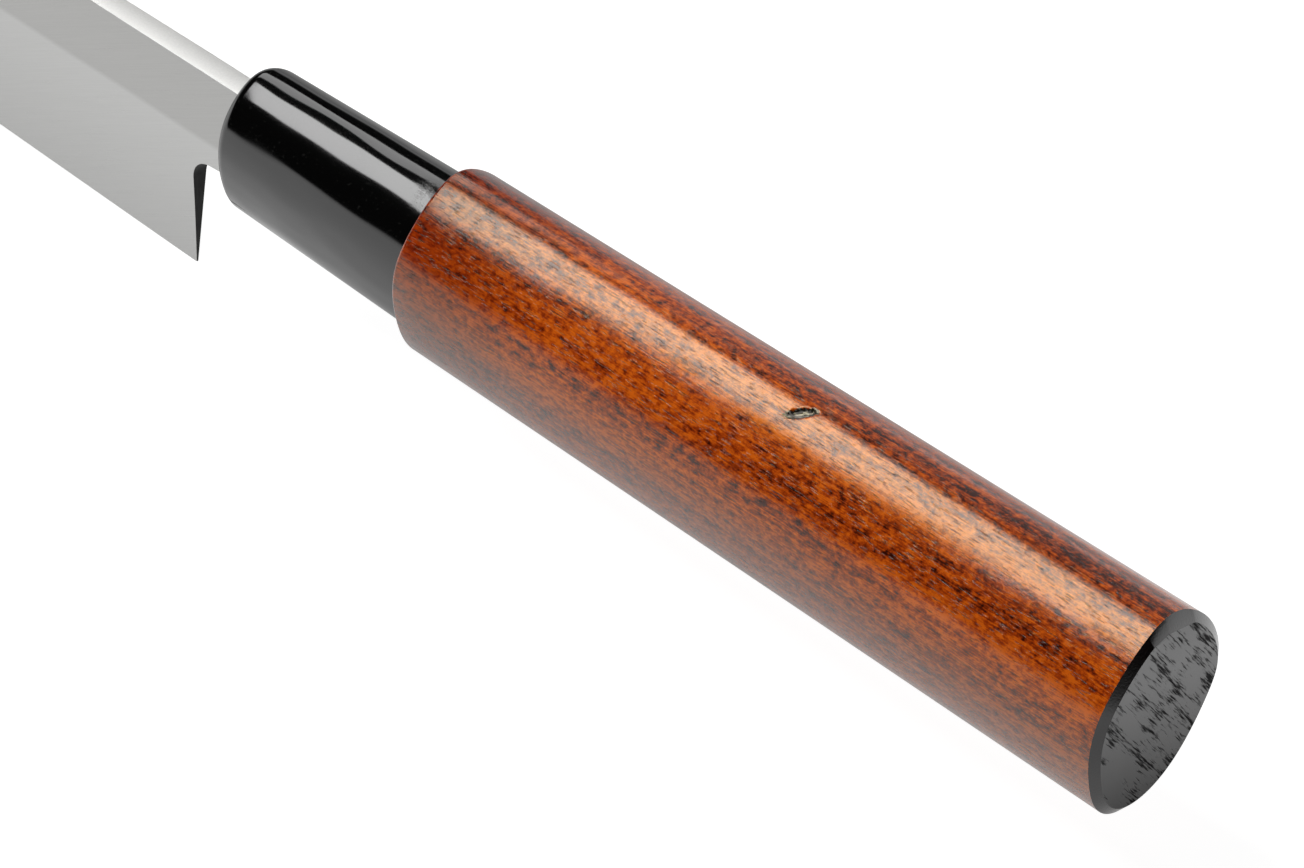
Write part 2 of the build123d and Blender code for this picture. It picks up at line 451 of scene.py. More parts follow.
# %% Colours of the stain and sizes of its patterns
STAIN_LIGHT = "#FF7616"
STAIN_MIDDLE = "#C4460A"
STAIN_DARK = "#3E0E04"
PORE_DARK = "#220A06"
STAIN_NEAR_FERRULE = "#A04828"
SHINE_DARK = "#C88C60"
SHINE_LIGHT = "#FFE040"

# Grains in millimetres along the knife's axes. Fibres and pores are finer on the real wood, but would
# be too fine to show.
BAND_SIZE = (70.0, 2.6, 2.6)
MOTTLE_SIZE = (1.15, 0.7, 0.7)
FIBRE_SIZE = (4.0, 0.12, 0.12)
PORE_SIZE = (1.8, 0.15, 0.15)
LACQUER_WAVE_SIZE = (26.0, 9.0, 9.0)

# How much each pattern counts in the stain. A band along the top of the section is darker, more so towards
# the butt.
BAND_SHARE = 0.3
MOTTLE_SHARE = 0.48
FIBRE_SHARE = 0.22
DARK_BAND_PLACE = knife(0, -0.3, 13.2)
DARK_BAND_REACH = 1.5 * MM
DARK_BAND_AHEAD = -0.02
DARK_BAND_BEHIND = -0.09
print("the mottles are", MOTTLE_SIZE, "mm")


# %% Helpers for patterns with a real size
def grained_noise(tree, place, size, detail, roughness):
    """Noise whose grains have a size in millimetres along each of the knife's axes."""
    per_metre = [1 / (length * MM) for length in size]
    fitted = add(tree, "ShaderNodeMapping", {"Vector": place, "Scale": per_metre})
    return add(tree, "ShaderNodeTexNoise", {
        "Vector": fitted.outputs[0],
        "Scale": 1.0,
        "Detail": detail,
        "Roughness": roughness,
    }).outputs["Fac"]


def summed(tree, shares):
    """Patterns added up, each by its share."""
    total = 0.0
    for pattern, share in shares:
        step = add(tree, "ShaderNodeMath", {0: pattern, 1: share, 2: total}, operation="MULTIPLY_ADD")
        total = step.outputs[0]
    return total


# %% [markdown]
# The wood has one flaw, a small gouge where something hard struck it at a slant to the grain. The stain
# and lacquer are torn off there, so it shows dark and pale shreds of fibre. A Mapping node turns the
# gouge into a ball of radius 1, so that the distance from its middle tells what is inside it.

# %% Torn fibres in the gouge
GOUGE_ENDS = (knife(53.9, -4.12, 11.8), knife(57.1, -1.82, 13.05))
GOUGE_HALF_SIZES = (0.62 * MM, 0.8 * MM)
GOUGE_RAGGED_SIZE = (0.7, 0.3, 0.3)
GOUGE_RAGGED = 0.8
GOUGE_INSIDE = 1.35
GOUGE_OUTSIDE = 1.5
# How much painted shade darkens the shreds at the gouge's edge.
GOUGE_RIM_PAINTED_SHADE = 0.3
# The shreds are measured where the gouge is a ball, so in thousandths of its half sizes.
GOUGE_SHRED_SIZE = (900.0, 260.0, 260.0)
GOUGE_DARK = "#100C0A"
GOUGE_PALE = "#8C8882"

gouge_middle = (GOUGE_ENDS[0] + GOUGE_ENDS[1]) / 2
gouge_along = (GOUGE_ENDS[1] - GOUGE_ENDS[0]).normalized()
gouge_length = (GOUGE_ENDS[1] - GOUGE_ENDS[0]).length
print("the gouge is", round(gouge_length / MM, 2), "mm long")


def gouge_look(tree, place):
    """The gouge's torn fibres, with painted shade darkening them towards its edge, and a mask that is 1
    inside it and 0 outside.
    """
    fitted = add(tree, "ShaderNodeMapping", {
        "Vector": place,
        "Location": gouge_middle,
        "Rotation": gouge_along.to_track_quat("X", "Z").to_euler(),
        "Scale": (gouge_length / 2, *GOUGE_HALF_SIZES),
    }, vector_type="TEXTURE").outputs[0]
    ragged = grained_noise(tree, place, GOUGE_RAGGED_SIZE, 2.0, 0.6)
    radius = add(tree, "ShaderNodeVectorMath", {0: fitted}, operation="LENGTH").outputs["Value"]
    reach = summed(tree, ((radius, 1.0), (ragged, GOUGE_RAGGED)))
    mask = add(tree, "ShaderNodeMapRange", {
        "Value": reach,
        "From Min": GOUGE_INSIDE,
        "From Max": GOUGE_OUTSIDE,
        "To Min": 1.0,
        "To Max": 0.0,
    }).outputs[0]
    # Painted shade: the shreds get darker towards the gouge's edge.
    rim = add(tree, "ShaderNodeMapRange", {
        "Value": reach,
        "From Min": 1.0,
        "From Max": GOUGE_INSIDE,
        "To Min": 0.0,
        "To Max": -GOUGE_RIM_PAINTED_SHADE,
    }).outputs[0]
    shreds = grained_noise(tree, fitted, GOUGE_SHRED_SIZE, 2.0, 0.6)
    shreds = summed(tree, ((shreds, 1.0), (rim, 1.0)))
    torn = add(tree, "ShaderNodeValToRGB", {0: shreds}, stops=[(0.34, GOUGE_DARK), (0.52, GOUGE_PALE)])
    return torn.outputs[0], mask


# %% Stain that sank into the wood
NEAR_FERRULE_FROM = knife(2.0, 0, 0).x
NEAR_FERRULE_TO = knife(24.0, 0, 0).x
NEAR_FERRULE_SHARE = 0.75
# The dark band is faint up to the first of these places and deepest from the second on.
BAND_STARTS = knife(10.0, 0, 0).x
BAND_IS_FULL = knife(95.0, 0, 0).x
PORE_SHARE = 0.75


def wood_stain(tree, place):
    """The stained wood's colour, its own shine's colour, its pores and its fibres."""
    bands = grained_noise(tree, place, BAND_SIZE, 3.0, 0.6)
    mottles = grained_noise(tree, place, MOTTLE_SIZE, 5.0, 0.7)
    fibres = grained_noise(tree, place, FIBRE_SIZE, 2.0, 0.6)
    pores = grained_noise(tree, place, PORE_SIZE, 1.0, 0.5)
    parts = add(tree, "ShaderNodeSeparateXYZ", {0: place}).outputs
    across = add(tree, "ShaderNodeCombineXYZ", {"Y": parts["Y"], "Z": parts["Z"]})
    from_band = add(tree, "ShaderNodeVectorMath", {
        0: across.outputs[0],
        1: (0, DARK_BAND_PLACE.y, DARK_BAND_PLACE.z),
    }, operation="DISTANCE")
    near_band = add(tree, "ShaderNodeMapRange", {
        "Value": from_band.outputs["Value"],
        "From Max": DARK_BAND_REACH,
        "To Min": 1.0,
        "To Max": 0.0,
    }, interpolation_type="SMOOTHSTEP").outputs[0]
    to_butt = add(tree, "ShaderNodeMapRange", {
        "Value": parts["X"],
        "From Min": BAND_STARTS,
        "From Max": BAND_IS_FULL,
        "To Min": DARK_BAND_AHEAD,
        "To Max": DARK_BAND_BEHIND,
    }).outputs[0]
    blend = summed(tree, (
        (bands, BAND_SHARE), (mottles, MOTTLE_SHARE), (fibres, FIBRE_SHARE), (near_band, to_butt)))
    tone = add(tree, "ShaderNodeValToRGB", {0: blend}, stops=[
        (0.42, STAIN_DARK), (0.49, STAIN_MIDDLE), (0.565, STAIN_LIGHT)]).outputs[0]
    near_ferrule = add(tree, "ShaderNodeMapRange", {
        "Value": parts["X"],
        "From Min": NEAR_FERRULE_FROM,
        "From Max": NEAR_FERRULE_TO,
        "To Min": NEAR_FERRULE_SHARE,
        "To Max": 0.0,
    }).outputs[0]
    tone = add(tree, "ShaderNodeMix", {0: near_ferrule, 6: tone, 7: linear(STAIN_NEAR_FERRULE)},
               data_type="RGBA", blend_type="MULTIPLY").outputs[2]
    pore_mask = add(tree, "ShaderNodeValToRGB", {0: pores}, stops=[(0.30, 1.0), (0.38, 0.0)]).outputs[0]
    in_pores = summed(tree, ((pore_mask, PORE_SHARE),))
    torn, inside = gouge_look(tree, place)
    for share, colour in ((in_pores, linear(PORE_DARK)), (inside, torn)):
        tone = add(tree, "ShaderNodeMix", {0: share, 6: tone, 7: colour}, data_type="RGBA").outputs[2]
    shine = add(tree, "ShaderNodeValToRGB", {0: blend}, stops=[(0.41, SHINE_DARK), (0.51, SHINE_LIGHT)])
    return tone, shine.outputs[0], pore_mask, fibres


# %% Stained wood under satin lacquer
wood_material, tree, output = new_material("stained magnolia, satin lacquer")
place = add(tree, "ShaderNodeTexCoord").outputs["Object"]
stain, shine, pore_mask, fibres = wood_stain(tree, place)
waves = grained_noise(tree, place, LACQUER_WAVE_SIZE, 2.0, 0.5)
sunk = summed(tree, ((fibres, 0.25), (pore_mask, -0.4)))
wood_bump = add(tree, "ShaderNodeBump", {"Height": sunk, "Distance": 0.04 * MM, "Strength": 0.6})
coat_waves = add(tree, "ShaderNodeBump", {"Height": waves, "Distance": 0.5 * MM, "Strength": 0.8})
coat_bump = add(tree, "ShaderNodeBump", {
    "Height": sunk, "Distance": 0.06 * MM, "Strength": 0.7, "Normal": coat_waves.outputs[0]})
wood_shader = add(tree, "ShaderNodeBsdfPrincipled", {
    "Base Color": stain,
    "Roughness": 0.24,
    "Specular IOR Level": 0.4,
    "Specular Tint": shine,
    "Normal": wood_bump.outputs[0],
    "Coat Weight": 0.84,
    "Coat Roughness": 0.17,
    "Coat IOR": 1.5,
    "Coat Normal": coat_bump.outputs[0],
})
tree.links.new(wood_shader.outputs[0], output.inputs[0])
print(wood_material.name, "has", len(tree.nodes), "nodes")

# %% [markdown]
# ## Black paint on the butt
#
# The butt is end grain, sealed with a thin black paint that was brushed on. It is half glossy and lies
# unevenly: where the brush went over open grain, black streaks and dots show where the paint sank in,
# in rows across the face. The face also carries painted shade: it is darker and less glossy towards the
# bottom. The chamfer round it was cut across the fibres, and its paint is thinner.

# %% Brushed black paint
STREAK_SIZE = (0.8, 3.6, 0.24)
STREAK_ROW_SIZE = (6.0, 18.0, 1.5)
STREAK_PATCH_SIZE = (6.0, 5.0, 4.0)
STREAK_TURN = math.radians(50)
# Heights over which the face goes from painted shade at the bottom to its lighter, glossier top.
PAINTED_SHADE_FROM = knife(0, 0, -11).z
PAINTED_SHADE_TO = knife(0, 0, 6).z

paint_material, tree, output = new_material("brushed black paint on end grain")
place = add(tree, "ShaderNodeTexCoord").outputs["Object"]
turned = add(tree, "ShaderNodeMapping", {"Vector": place, "Rotation": (STREAK_TURN, 0, 0)}).outputs[0]
streaks = grained_noise(tree, turned, STREAK_SIZE, 2.0, 0.6)
rows = grained_noise(tree, turned, STREAK_ROW_SIZE, 1.0, 0.5)
patches = grained_noise(tree, turned, STREAK_PATCH_SIZE, 1.0, 0.5)
sunk = summed(tree, ((streaks, 0.45), (rows, 0.3), (patches, 0.25)))
gaps = add(tree, "ShaderNodeValToRGB", {0: sunk}, stops=[(0.40, 1.0), (0.48, 0.0)]).outputs[0]
# Painted shade: darker, duller paint towards the bottom of the butt, lighter and glossier towards the top.
height = add(tree, "ShaderNodeSeparateXYZ", {0: place}).outputs["Z"]
painted_top_light = add(tree, "ShaderNodeMapRange", {
    "Value": height, "From Min": PAINTED_SHADE_FROM, "From Max": PAINTED_SHADE_TO}).outputs[0]
paint_colour = linear("#242220")
for share, colour in ((painted_top_light, "#3E3E3E"), (gaps, "#020202")):
    paint_colour = add(tree, "ShaderNodeMix", {0: share, 6: paint_colour, 7: linear(colour)},
                       data_type="RGBA").outputs[2]
paint_rough = add(tree, "ShaderNodeMapRange", {"Value": gaps, "To Min": 0.34, "To Max": 0.8}).outputs[0]
painted_top_gloss = add(tree, "ShaderNodeMapRange", {"Value": painted_top_light, "To Min": 0.2, "To Max": 1.0}).outputs[0]
gap_gloss = add(tree, "ShaderNodeMapRange", {"Value": gaps, "To Min": 1.0, "To Max": 0.2}).outputs[0]
paint_gloss = summed(tree, ((painted_top_gloss, gap_gloss),))
paint_bump = add(tree, "ShaderNodeBump", {"Height": gaps, "Distance": -0.08 * MM, "Strength": 1.0})
paint_shader = add(tree, "ShaderNodeBsdfPrincipled", {
    "Base Color": paint_colour,
    "Roughness": paint_rough,
    "Specular IOR Level": paint_gloss,
    "IOR": 1.6,
    "Normal": paint_bump.outputs[0],
})
tree.links.new(paint_shader.outputs[0], output.inputs[0])
print(paint_material.name, "has streaks of", STREAK_SIZE, "mm")

# %% Thin black paint on the chamfer
CHAMFER_GRAIN_SIZE = (0.6, 0.25, 0.25)

chamfer_material, tree, output = new_material("thin black paint on a cut chamfer")
place = add(tree, "ShaderNodeTexCoord").outputs["Object"]
grains = grained_noise(tree, place, CHAMFER_GRAIN_SIZE, 2.0, 0.6)
chamfer_tone = add(tree, "ShaderNodeValToRGB", {0: grains}, stops=[(0.35, "#0A0505"), (0.7, "#20140F")])
chamfer_bump = add(tree, "ShaderNodeBump", {"Height": grains, "Distance": 0.04 * MM, "Strength": 0.5})
chamfer_shader = add(tree, "ShaderNodeBsdfPrincipled", {
    "Base Color": chamfer_tone.outputs[0],
    "Roughness": 0.17,
    "Specular IOR Level": 0.7,
    "Normal": chamfer_bump.outputs[0],
})
tree.links.new(chamfer_shader.outputs[0], output.inputs[0])
print(chamfer_material.name, "has grains of", CHAMFER_GRAIN_SIZE, "mm")

# %% [markdown]
# ## The wooden handle
#
# A handle maker turns or planes the blank to the D section, cuts a smaller tenon for the ferrule, drills
# and squares the slot for the tang, rounds the front edge and chamfers the butt. One solid drawn through
# stations gives all of that but the slot, which is then cut out. The stations stand close together
# where the wood has its one flaw, a small gouge, so that there are enough points to push in there. The
# chamfer was cut by hand. It is wider at the top, where its inner edge is two straight stretches that
# meet in a corner, a little left of the middle.

# %% Sizes of the wooden handle
FERRULE_LENGTH = 33.0
FERRULE_WALL = 1.8
FERRULE_FRONT_WALL = 3.0
TENON_GAP = 0.15
TENON_END_GAP = 0.4
HANDLE_FRONT = (20.4, 24.4)
BUTT = (21.8, 26.0)
FRONT_RADIUS = 0.5
CHAMFER_LENGTH = 0.8
CHAMFER_INSET = 1.1
FERRULE_REAR = (16.8, 20.8)
FERRULE_FRONT = (14.8, 19.7)
ROUND_STEPS = 6
print("the handle is", FERRULE_LENGTH + HANDLE_LENGTH, "mm long")


def between(start, end, share):
    """Width and height at a share of the way from one section to another."""
    return [a + (b - a) * share for a, b in zip(start, end)]


def ferrule_size(x):
    """The ferrule's width and height at x."""
    return between(FERRULE_REAR, FERRULE_FRONT, -x / FERRULE_LENGTH)


def grip_size(x):
    """The wood's width and height at x, outside the ferrule."""
    return between(HANDLE_FRONT, BUTT, x / (HANDLE_LENGTH - CHAMFER_LENGTH))


def shrunk(size, inset):
    """A width and height with the same amount taken off all round."""
    return [length - 2 * inset for length in size]


# %% Draw the wood from the tenon to the butt
STATION = 2.0
GRIP_STARTS = 4.0
GOUGE_FROM = 52.2
GOUGE_TO = 57.8
GOUGE_STATION = 0.14
# The corner of the chamfer's inner edge, and how steeply the edge falls away on either side of it.
CORNER_Y = -0.9
CORNER_Z = 11.98
LEFT_FALL = 0.2
RIGHT_FALL = 0.24

tenon_end = -FERRULE_LENGTH + FERRULE_FRONT_WALL + TENON_END_GAP
wood_sections = [
    d_section(x, shrunk(ferrule_size(x), FERRULE_WALL + TENON_GAP), ferrule_ring) for x in (tenon_end, 0.0)]
for step in range(ROUND_STEPS + 1):
    turn = math.pi / 2 * step / ROUND_STEPS
    x = FRONT_RADIUS * (1 - math.cos(turn))
    wood_sections.append(d_section(x, shrunk(grip_size(x), FRONT_RADIUS * (1 - math.sin(turn))), wood_ring))
x = GRIP_STARTS
while x < HANDLE_LENGTH - CHAMFER_LENGTH - STATION / 2:
    wood_sections.append(d_section(x, grip_size(x), wood_ring))
    x += GOUGE_STATION if GOUGE_FROM < x < GOUGE_TO else STATION
wood_sections.append(d_section(HANDLE_LENGTH - CHAMFER_LENGTH, BUTT, wood_ring))
butt_ring = d_section(HANDLE_LENGTH, shrunk(BUTT, CHAMFER_INSET), wood_ring)
for point in butt_ring:
    aside = (point - joint).y / MM - CORNER_Y
    highest = CORNER_Z - (RIGHT_FALL if aside > 0 else -LEFT_FALL) * aside
    point.z = min(point.z, knife(0, 0, highest).z)
wood_sections.append(butt_ring)
wood = solid_through(wood_sections)
print("the wood has", len(wood_sections), "sections")

# %% [markdown]
# The gouge's points are pushed in along the surface's normal, deepest in the middle, with a torn, uneven
# rim. A noise that is sampled at each point makes the rim ragged, and is the same on each run.

# %% Push in the gouge
GOUGE_WIDTH = 1.25 * MM
GOUGE_DEPTH = 0.35 * MM
RIM_HEIGHT = 0.015 * MM
RIM_REACH = 0.6
TEAR_SIZE = 0.5 * MM
TEAR_SHARE = 0.35

wood.normal_update()
moves = []
for corner in wood.verts:
    offset = corner.co - gouge_middle
    if offset.length > gouge_length:
        continue
    along = offset.dot(gouge_along) / (gouge_length / 2)
    across = (offset - offset.dot(gouge_along) * gouge_along).length / (GOUGE_WIDTH / 2)
    ragged = TEAR_SHARE * noise.noise(corner.co / TEAR_SIZE)
    reach = math.hypot(along, across) + ragged
    if reach < 1:
        moves.append((corner, -GOUGE_DEPTH * (1 - reach * reach)))
    elif reach < 1 + RIM_REACH:
        moves.append((corner, RIM_HEIGHT * math.sin(math.pi * (reach - 1) / RIM_REACH)))
for corner, push in moves:
    corner.co += corner.normal * push
print("the gouge moved", len(moves), "points")

# %% Cut the slot for the tang and finish the wood
SPINE_Z = 5.8
NECK_HEIGHT = 12.6
TANG_MIDDLE_Z = SPINE_Z - NECK_HEIGHT / 2
SLOT_HALF_WIDTH = 2.5
SLOT_HALF_HEIGHT = 6.0
SLOT_END = 66.0
OVERRUN = 1.0
FACES_BACKWARDS = 0.99
WOOD_SHARP_DEGREES = 35

wood = cut_away(wood, block(
    tenon_end - OVERRUN, SLOT_END, -SLOT_HALF_WIDTH, SLOT_HALF_WIDTH,
    TANG_MIDDLE_Z - SLOT_HALF_HEIGHT, TANG_MIDDLE_Z + SLOT_HALF_HEIGHT))
paint_from = knife(HANDLE_LENGTH - CHAMFER_LENGTH, 0, 0).x
for face in wood.faces:
    if face.calc_center_median().x > paint_from:
        face.material_index = 1 if face.normal.x > FACES_BACKWARDS else 2
wooden_handle = finish_piece("wooden_handle", wood, "handle_body", WOOD_SHARP_DEGREES,
                             [wood_material, paint_material, chamfer_material])

# %% [markdown]
# ## The ferrule
#
# The ferrule is a cap of black phenolic plastic, moulded and polished. It is very smooth, so it mirrors
# the softboxes as clear bands. The polish is not quite flat, which makes the bands wander. The handle's
# sanding left fine scuffs where the ferrule meets the wood, and faint specks of dust all over it.

# %% Polished black plastic
POLISH_WAVE_SIZE = (14.0, 5.0, 5.0)
DUST_SIZE = (0.35, 0.35, 0.35)
SCUFF_SIZE = (0.9, 0.4, 0.4)
SCUFF_MIDDLE = knife(-1.9, -2.6, 9.8)
SCUFF_REACH = 3.2 * MM
DUST_COLOUR = "#8A8A86"

ferrule_material, tree, output = new_material("polished black phenolic")
place = add(tree, "ShaderNodeTexCoord").outputs["Object"]
waves = grained_noise(tree, place, POLISH_WAVE_SIZE, 1.0, 0.5)
dust = grained_noise(tree, place, DUST_SIZE, 0.0, 0.5)
scuffs = grained_noise(tree, place, SCUFF_SIZE, 4.0, 0.75)
from_scuff = add(tree, "ShaderNodeVectorMath", {0: place, 1: SCUFF_MIDDLE}, operation="DISTANCE")
near_scuff = add(tree, "ShaderNodeMapRange", {
    "Value": from_scuff.outputs["Value"],
    "From Max": SCUFF_REACH,
    "To Min": 1.0,
    "To Max": 0.0,
}, interpolation_type="SMOOTHSTEP").outputs[0]
scuffed = add(tree, "ShaderNodeValToRGB", {0: scuffs}, stops=[(0.42, 0.0), (0.6, 1.0)]).outputs[0]
scuffed = summed(tree, ((scuffed, near_scuff),))
specks = add(tree, "ShaderNodeValToRGB", {0: dust}, stops=[(0.74, 0.0), (0.78, 1.0)]).outputs[0]
ferrule_colour = linear("#050505")
for dusty, share in ((specks, 0.05), (scuffed, 0.25)):
    share = summed(tree, ((dusty, share),))
    ferrule_colour = add(tree, "ShaderNodeMix", {0: share, 6: ferrule_colour, 7: linear(DUST_COLOUR)},
                         data_type="RGBA").outputs[2]
ferrule_rough = add(tree, "ShaderNodeMapRange", {"Value": scuffed, "To Min": 0.1, "To Max": 0.4}).outputs[0]
polish = add(tree, "ShaderNodeBump", {"Height": waves, "Distance": 0.4 * MM, "Strength": 0.6})
scratches = add(tree, "ShaderNodeBump", {
    "Height": scuffed, "Distance": 0.01 * MM, "Strength": 0.4, "Normal": polish.outputs[0]})
ferrule_shader = add(tree, "ShaderNodeBsdfPrincipled", {
    "Base Color": ferrule_colour,
    "Roughness": ferrule_rough,
    "IOR": 1.65,
    "Normal": scratches.outputs[0],
})
tree.links.new(ferrule_shader.outputs[0], output.inputs[0])
print(ferrule_material.name, "has waves of", POLISH_WAVE_SIZE, "mm")

# %% Draw the ferrule round its bore and over its shoulder
SHOULDER_RADIUS = 1.8
SHOULDER_STEPS = 14
REAR_EDGE = 0.15
CAP_STATIONS = (-REAR_EDGE, -6.0, -12.0, -18.0, -24.0, -29.0)
MOUTH_HALF_WIDTH = 2.25
MOUTH_CLEARANCE = 0.5
FERRULE_SHARP_DEGREES = 40

bore_end = -FERRULE_LENGTH + FERRULE_FRONT_WALL
cap_sections = [d_section(x, shrunk(ferrule_size(x), FERRULE_WALL), ferrule_ring) for x in (bore_end, 0.0)]
cap_sections.append(d_section(0.0, shrunk(ferrule_size(0.0), REAR_EDGE), ferrule_ring))
for x in CAP_STATIONS:
    cap_sections.append(d_section(x, ferrule_size(x), ferrule_ring))
shoulder_x = -FERRULE_LENGTH + SHOULDER_RADIUS
for step in range(SHOULDER_STEPS + 1):
    turn = math.pi / 2 * step / SHOULDER_STEPS
    x = shoulder_x - SHOULDER_RADIUS * math.sin(turn)
    inset = SHOULDER_RADIUS * (1 - math.cos(turn))
    cap_sections.append(d_section(x, shrunk(ferrule_size(x), inset), ferrule_ring))
cap = solid_through(cap_sections)
cap = cut_away(cap, block(
    -FERRULE_LENGTH - OVERRUN, bore_end + OVERRUN / 2, -MOUTH_HALF_WIDTH, MOUTH_HALF_WIDTH,
    SPINE_Z - NECK_HEIGHT - MOUTH_CLEARANCE, SPINE_Z + MOUTH_CLEARANCE))
moulded_ferrule = finish_piece("moulded_ferrule", cap, "ferrule",
                               FERRULE_SHARP_DEGREES, [ferrule_material])

# %% [markdown]
# ## Satin steel
#
# The blade is stainless steel, ground flat and finished with a fine belt. The belt leaves very fine
# parallel lines, here at a slant to the blade, which spread reflections into a soft grey. The strip
# along the spine, above the hollow, is painted a little darker than the hollow: painted shade.

# %% Belt-ground stainless steel
# The belt's lines are finer on the real steel, but would be too fine to show.
GRIND_TURN = math.radians(29)
GRIND_LINE_SIZE = (9.0, 0.3, 0.09)
GRIND_CLOUD_SIZE = (40.0, 6.0, 5.0)
STRIP_HEIGHT = 10.1
# The strip's colour is this share of the hollow's colour, as painted shade.
STRIP_SHADE_SHARE = 0.82
STRIP_SOFTNESS = 0.4 * MM
HOLLOW_EDGE_WANDER = 0.5 * MM
LINE_SHADE = 0.08
LINE_ROUGHNESS = 0.06
HOLLOW_TINT = (1.0, 1.0, 0.985)
STRIP_TINT = (1.0, 0.995, 0.975)


def ground_steel(name, brightness, roughness):
    """Stainless steel with belt lines, whose strip beside the spine is painted a little darker, as painted
    shade.
    """
    material, tree, output = new_material(name)
    place = add(tree, "ShaderNodeTexCoord").outputs["Object"]
    turned = add(tree, "ShaderNodeMapping", {"Vector": place, "Rotation": (0, GRIND_TURN, 0)}).outputs[0]
    lines = grained_noise(tree, turned, GRIND_LINE_SIZE, 2.0, 0.6)
    clouds = grained_noise(tree, place, GRIND_CLOUD_SIZE, 2.0, 0.5)
    height = add(tree, "ShaderNodeSeparateXYZ", {0: place}).outputs["Z"]
    height = summed(tree, ((height, 1.0), (clouds, 2 * HOLLOW_EDGE_WANDER)))
    back_line = knife(0, 0, SPINE_Z - STRIP_HEIGHT).z + HOLLOW_EDGE_WANDER
    strip = add(tree, "ShaderNodeMapRange", {
        "Value": height,
        "From Min": back_line - STRIP_SOFTNESS,
        "From Max": back_line + STRIP_SOFTNESS,
    }).outputs[0]
    # Painted shade: the strip beside the spine gets a darker copy of the steel's colour.
    hollow_tone = [brightness * tint for tint in HOLLOW_TINT] + [1.0]
    strip_tone = [brightness * STRIP_SHADE_SHARE * tint for tint in STRIP_TINT] + [1.0]
    tone = add(tree, "ShaderNodeMix", {0: strip, 6: hollow_tone, 7: strip_tone}, data_type="RGBA").outputs[2]
    shade = add(tree, "ShaderNodeMapRange", {
        "Value": lines, "To Min": 1 - LINE_SHADE, "To Max": 1 + LINE_SHADE}).outputs[0]
    tone = add(tree, "ShaderNodeMix", {0: 1.0, 6: tone, 7: shade},
               data_type="RGBA", blend_type="MULTIPLY").outputs[2]
    rough = add(tree, "ShaderNodeMapRange", {
        "Value": lines,
        "To Min": roughness - LINE_ROUGHNESS,
        "To Max": roughness + LINE_ROUGHNESS,
    }).outputs[0]
    bump = add(tree, "ShaderNodeBump", {"Height": lines, "Distance": 0.012 * MM, "Strength": 0.6})
    shader = add(tree, "ShaderNodeBsdfPrincipled", {
        "Base Color": tone,
        "Metallic": 1.0,
        "Roughness": rough,
        "Normal": bump.outputs[0],
    })
    tree.links.new(shader.outputs[0], output.inputs[0])
    print(name, "has lines of", GRIND_LINE_SIZE, "mm")
    return material


# The spine was ground across by hand, so it is rougher. Its colour is also painted much brighter than the
# sides', as painted light from above.
steel_material = ground_steel("belt-ground stainless steel", 0.445, 0.30)
spine_painted_light_material = ground_steel("stainless steel, spine ground across, painted light", 1.1, 0.6)

# %% Dark steel behind the heel
# The narrow face behind the heel is dark and dull, with darker and lighter marks.
DARK_MARK_SIZE = (0.6, 0.6, 1.4)

heel_material, tree, output = new_material("dark dull steel behind the heel")
place = add(tree, "ShaderNodeTexCoord").outputs["Object"]
dark_marks = grained_noise(tree, place, DARK_MARK_SIZE, 3.0, 0.6)
dark_tone = add(tree, "ShaderNodeValToRGB", {0: dark_marks}, stops=[(0.3, "#0C0C0C"), (0.7, "#2A2A2A")])
heel_shader = add(tree, "ShaderNodeBsdfPrincipled", {
    "Base Color": dark_tone.outputs[0],
    "Metallic": 0.6,
    "Roughness": 0.5,
})
tree.links.new(heel_shader.outputs[0], output.inputs[0])
print(heel_material.name, "has marks of", DARK_MARK_SIZE, "mm")

# %% [markdown]
# ## The blade
#
# A yanagiba is ground on one side only. Its left side is flat, with a shallow hollow so that slices fall
# away, and its right side has one wide bevel down to the edge. The blade is drawn like the handle: its
# section is a ring of points, which is extruded from the tip back to the heel and on into the ferrule,
# where the neck is cut out of it. The ring keeps the same points all the way, so the hollow fades out as
# the blade gets narrow.

# %% Sizes of the blade
BLADE_LENGTH = 240.0
HEEL_HEIGHT = 29.0
SPINE_THICKNESS = 3.5
TIP_THICKNESS = 1.5
EDGE_THICKNESS = 0.25
SPINE_ROUND = 0.35
BEVEL_BELOW_SPINE = 9.0
HOLLOW_DEPTH = 0.12
EDGE_RISE = 6.0
TIP_HEIGHT = 1.0
BELLY_FROM = 0.5
BELLY_POWER = 2.4
NECK_LENGTH = 9.2
NECK_DROP = 1.0
NOTCH_RADIUS = 3.0
HEEL_SLANT = 1.3
HOLLOW_STEPS = 12
ROUND_TURNS = [math.radians(turn) for turn in (0, 30, 60, 90)]
LEFT_Y = -SPINE_THICKNESS / 2
HEEL_X = -FERRULE_LENGTH - NECK_LENGTH
print("the blade is", BLADE_LENGTH, "by", HEEL_HEIGHT, "mm")


# %% The blade's section at any place
def blade_height(share):
    """Spine to edge at a share of the way from heel to tip."""
    straight = HEEL_HEIGHT - EDGE_RISE * share
    belly = max(share - BELLY_FROM, 0) / (1 - BELLY_FROM)
    return TIP_HEIGHT + (straight - TIP_HEIGHT) * (1 - belly ** BELLY_POWER)


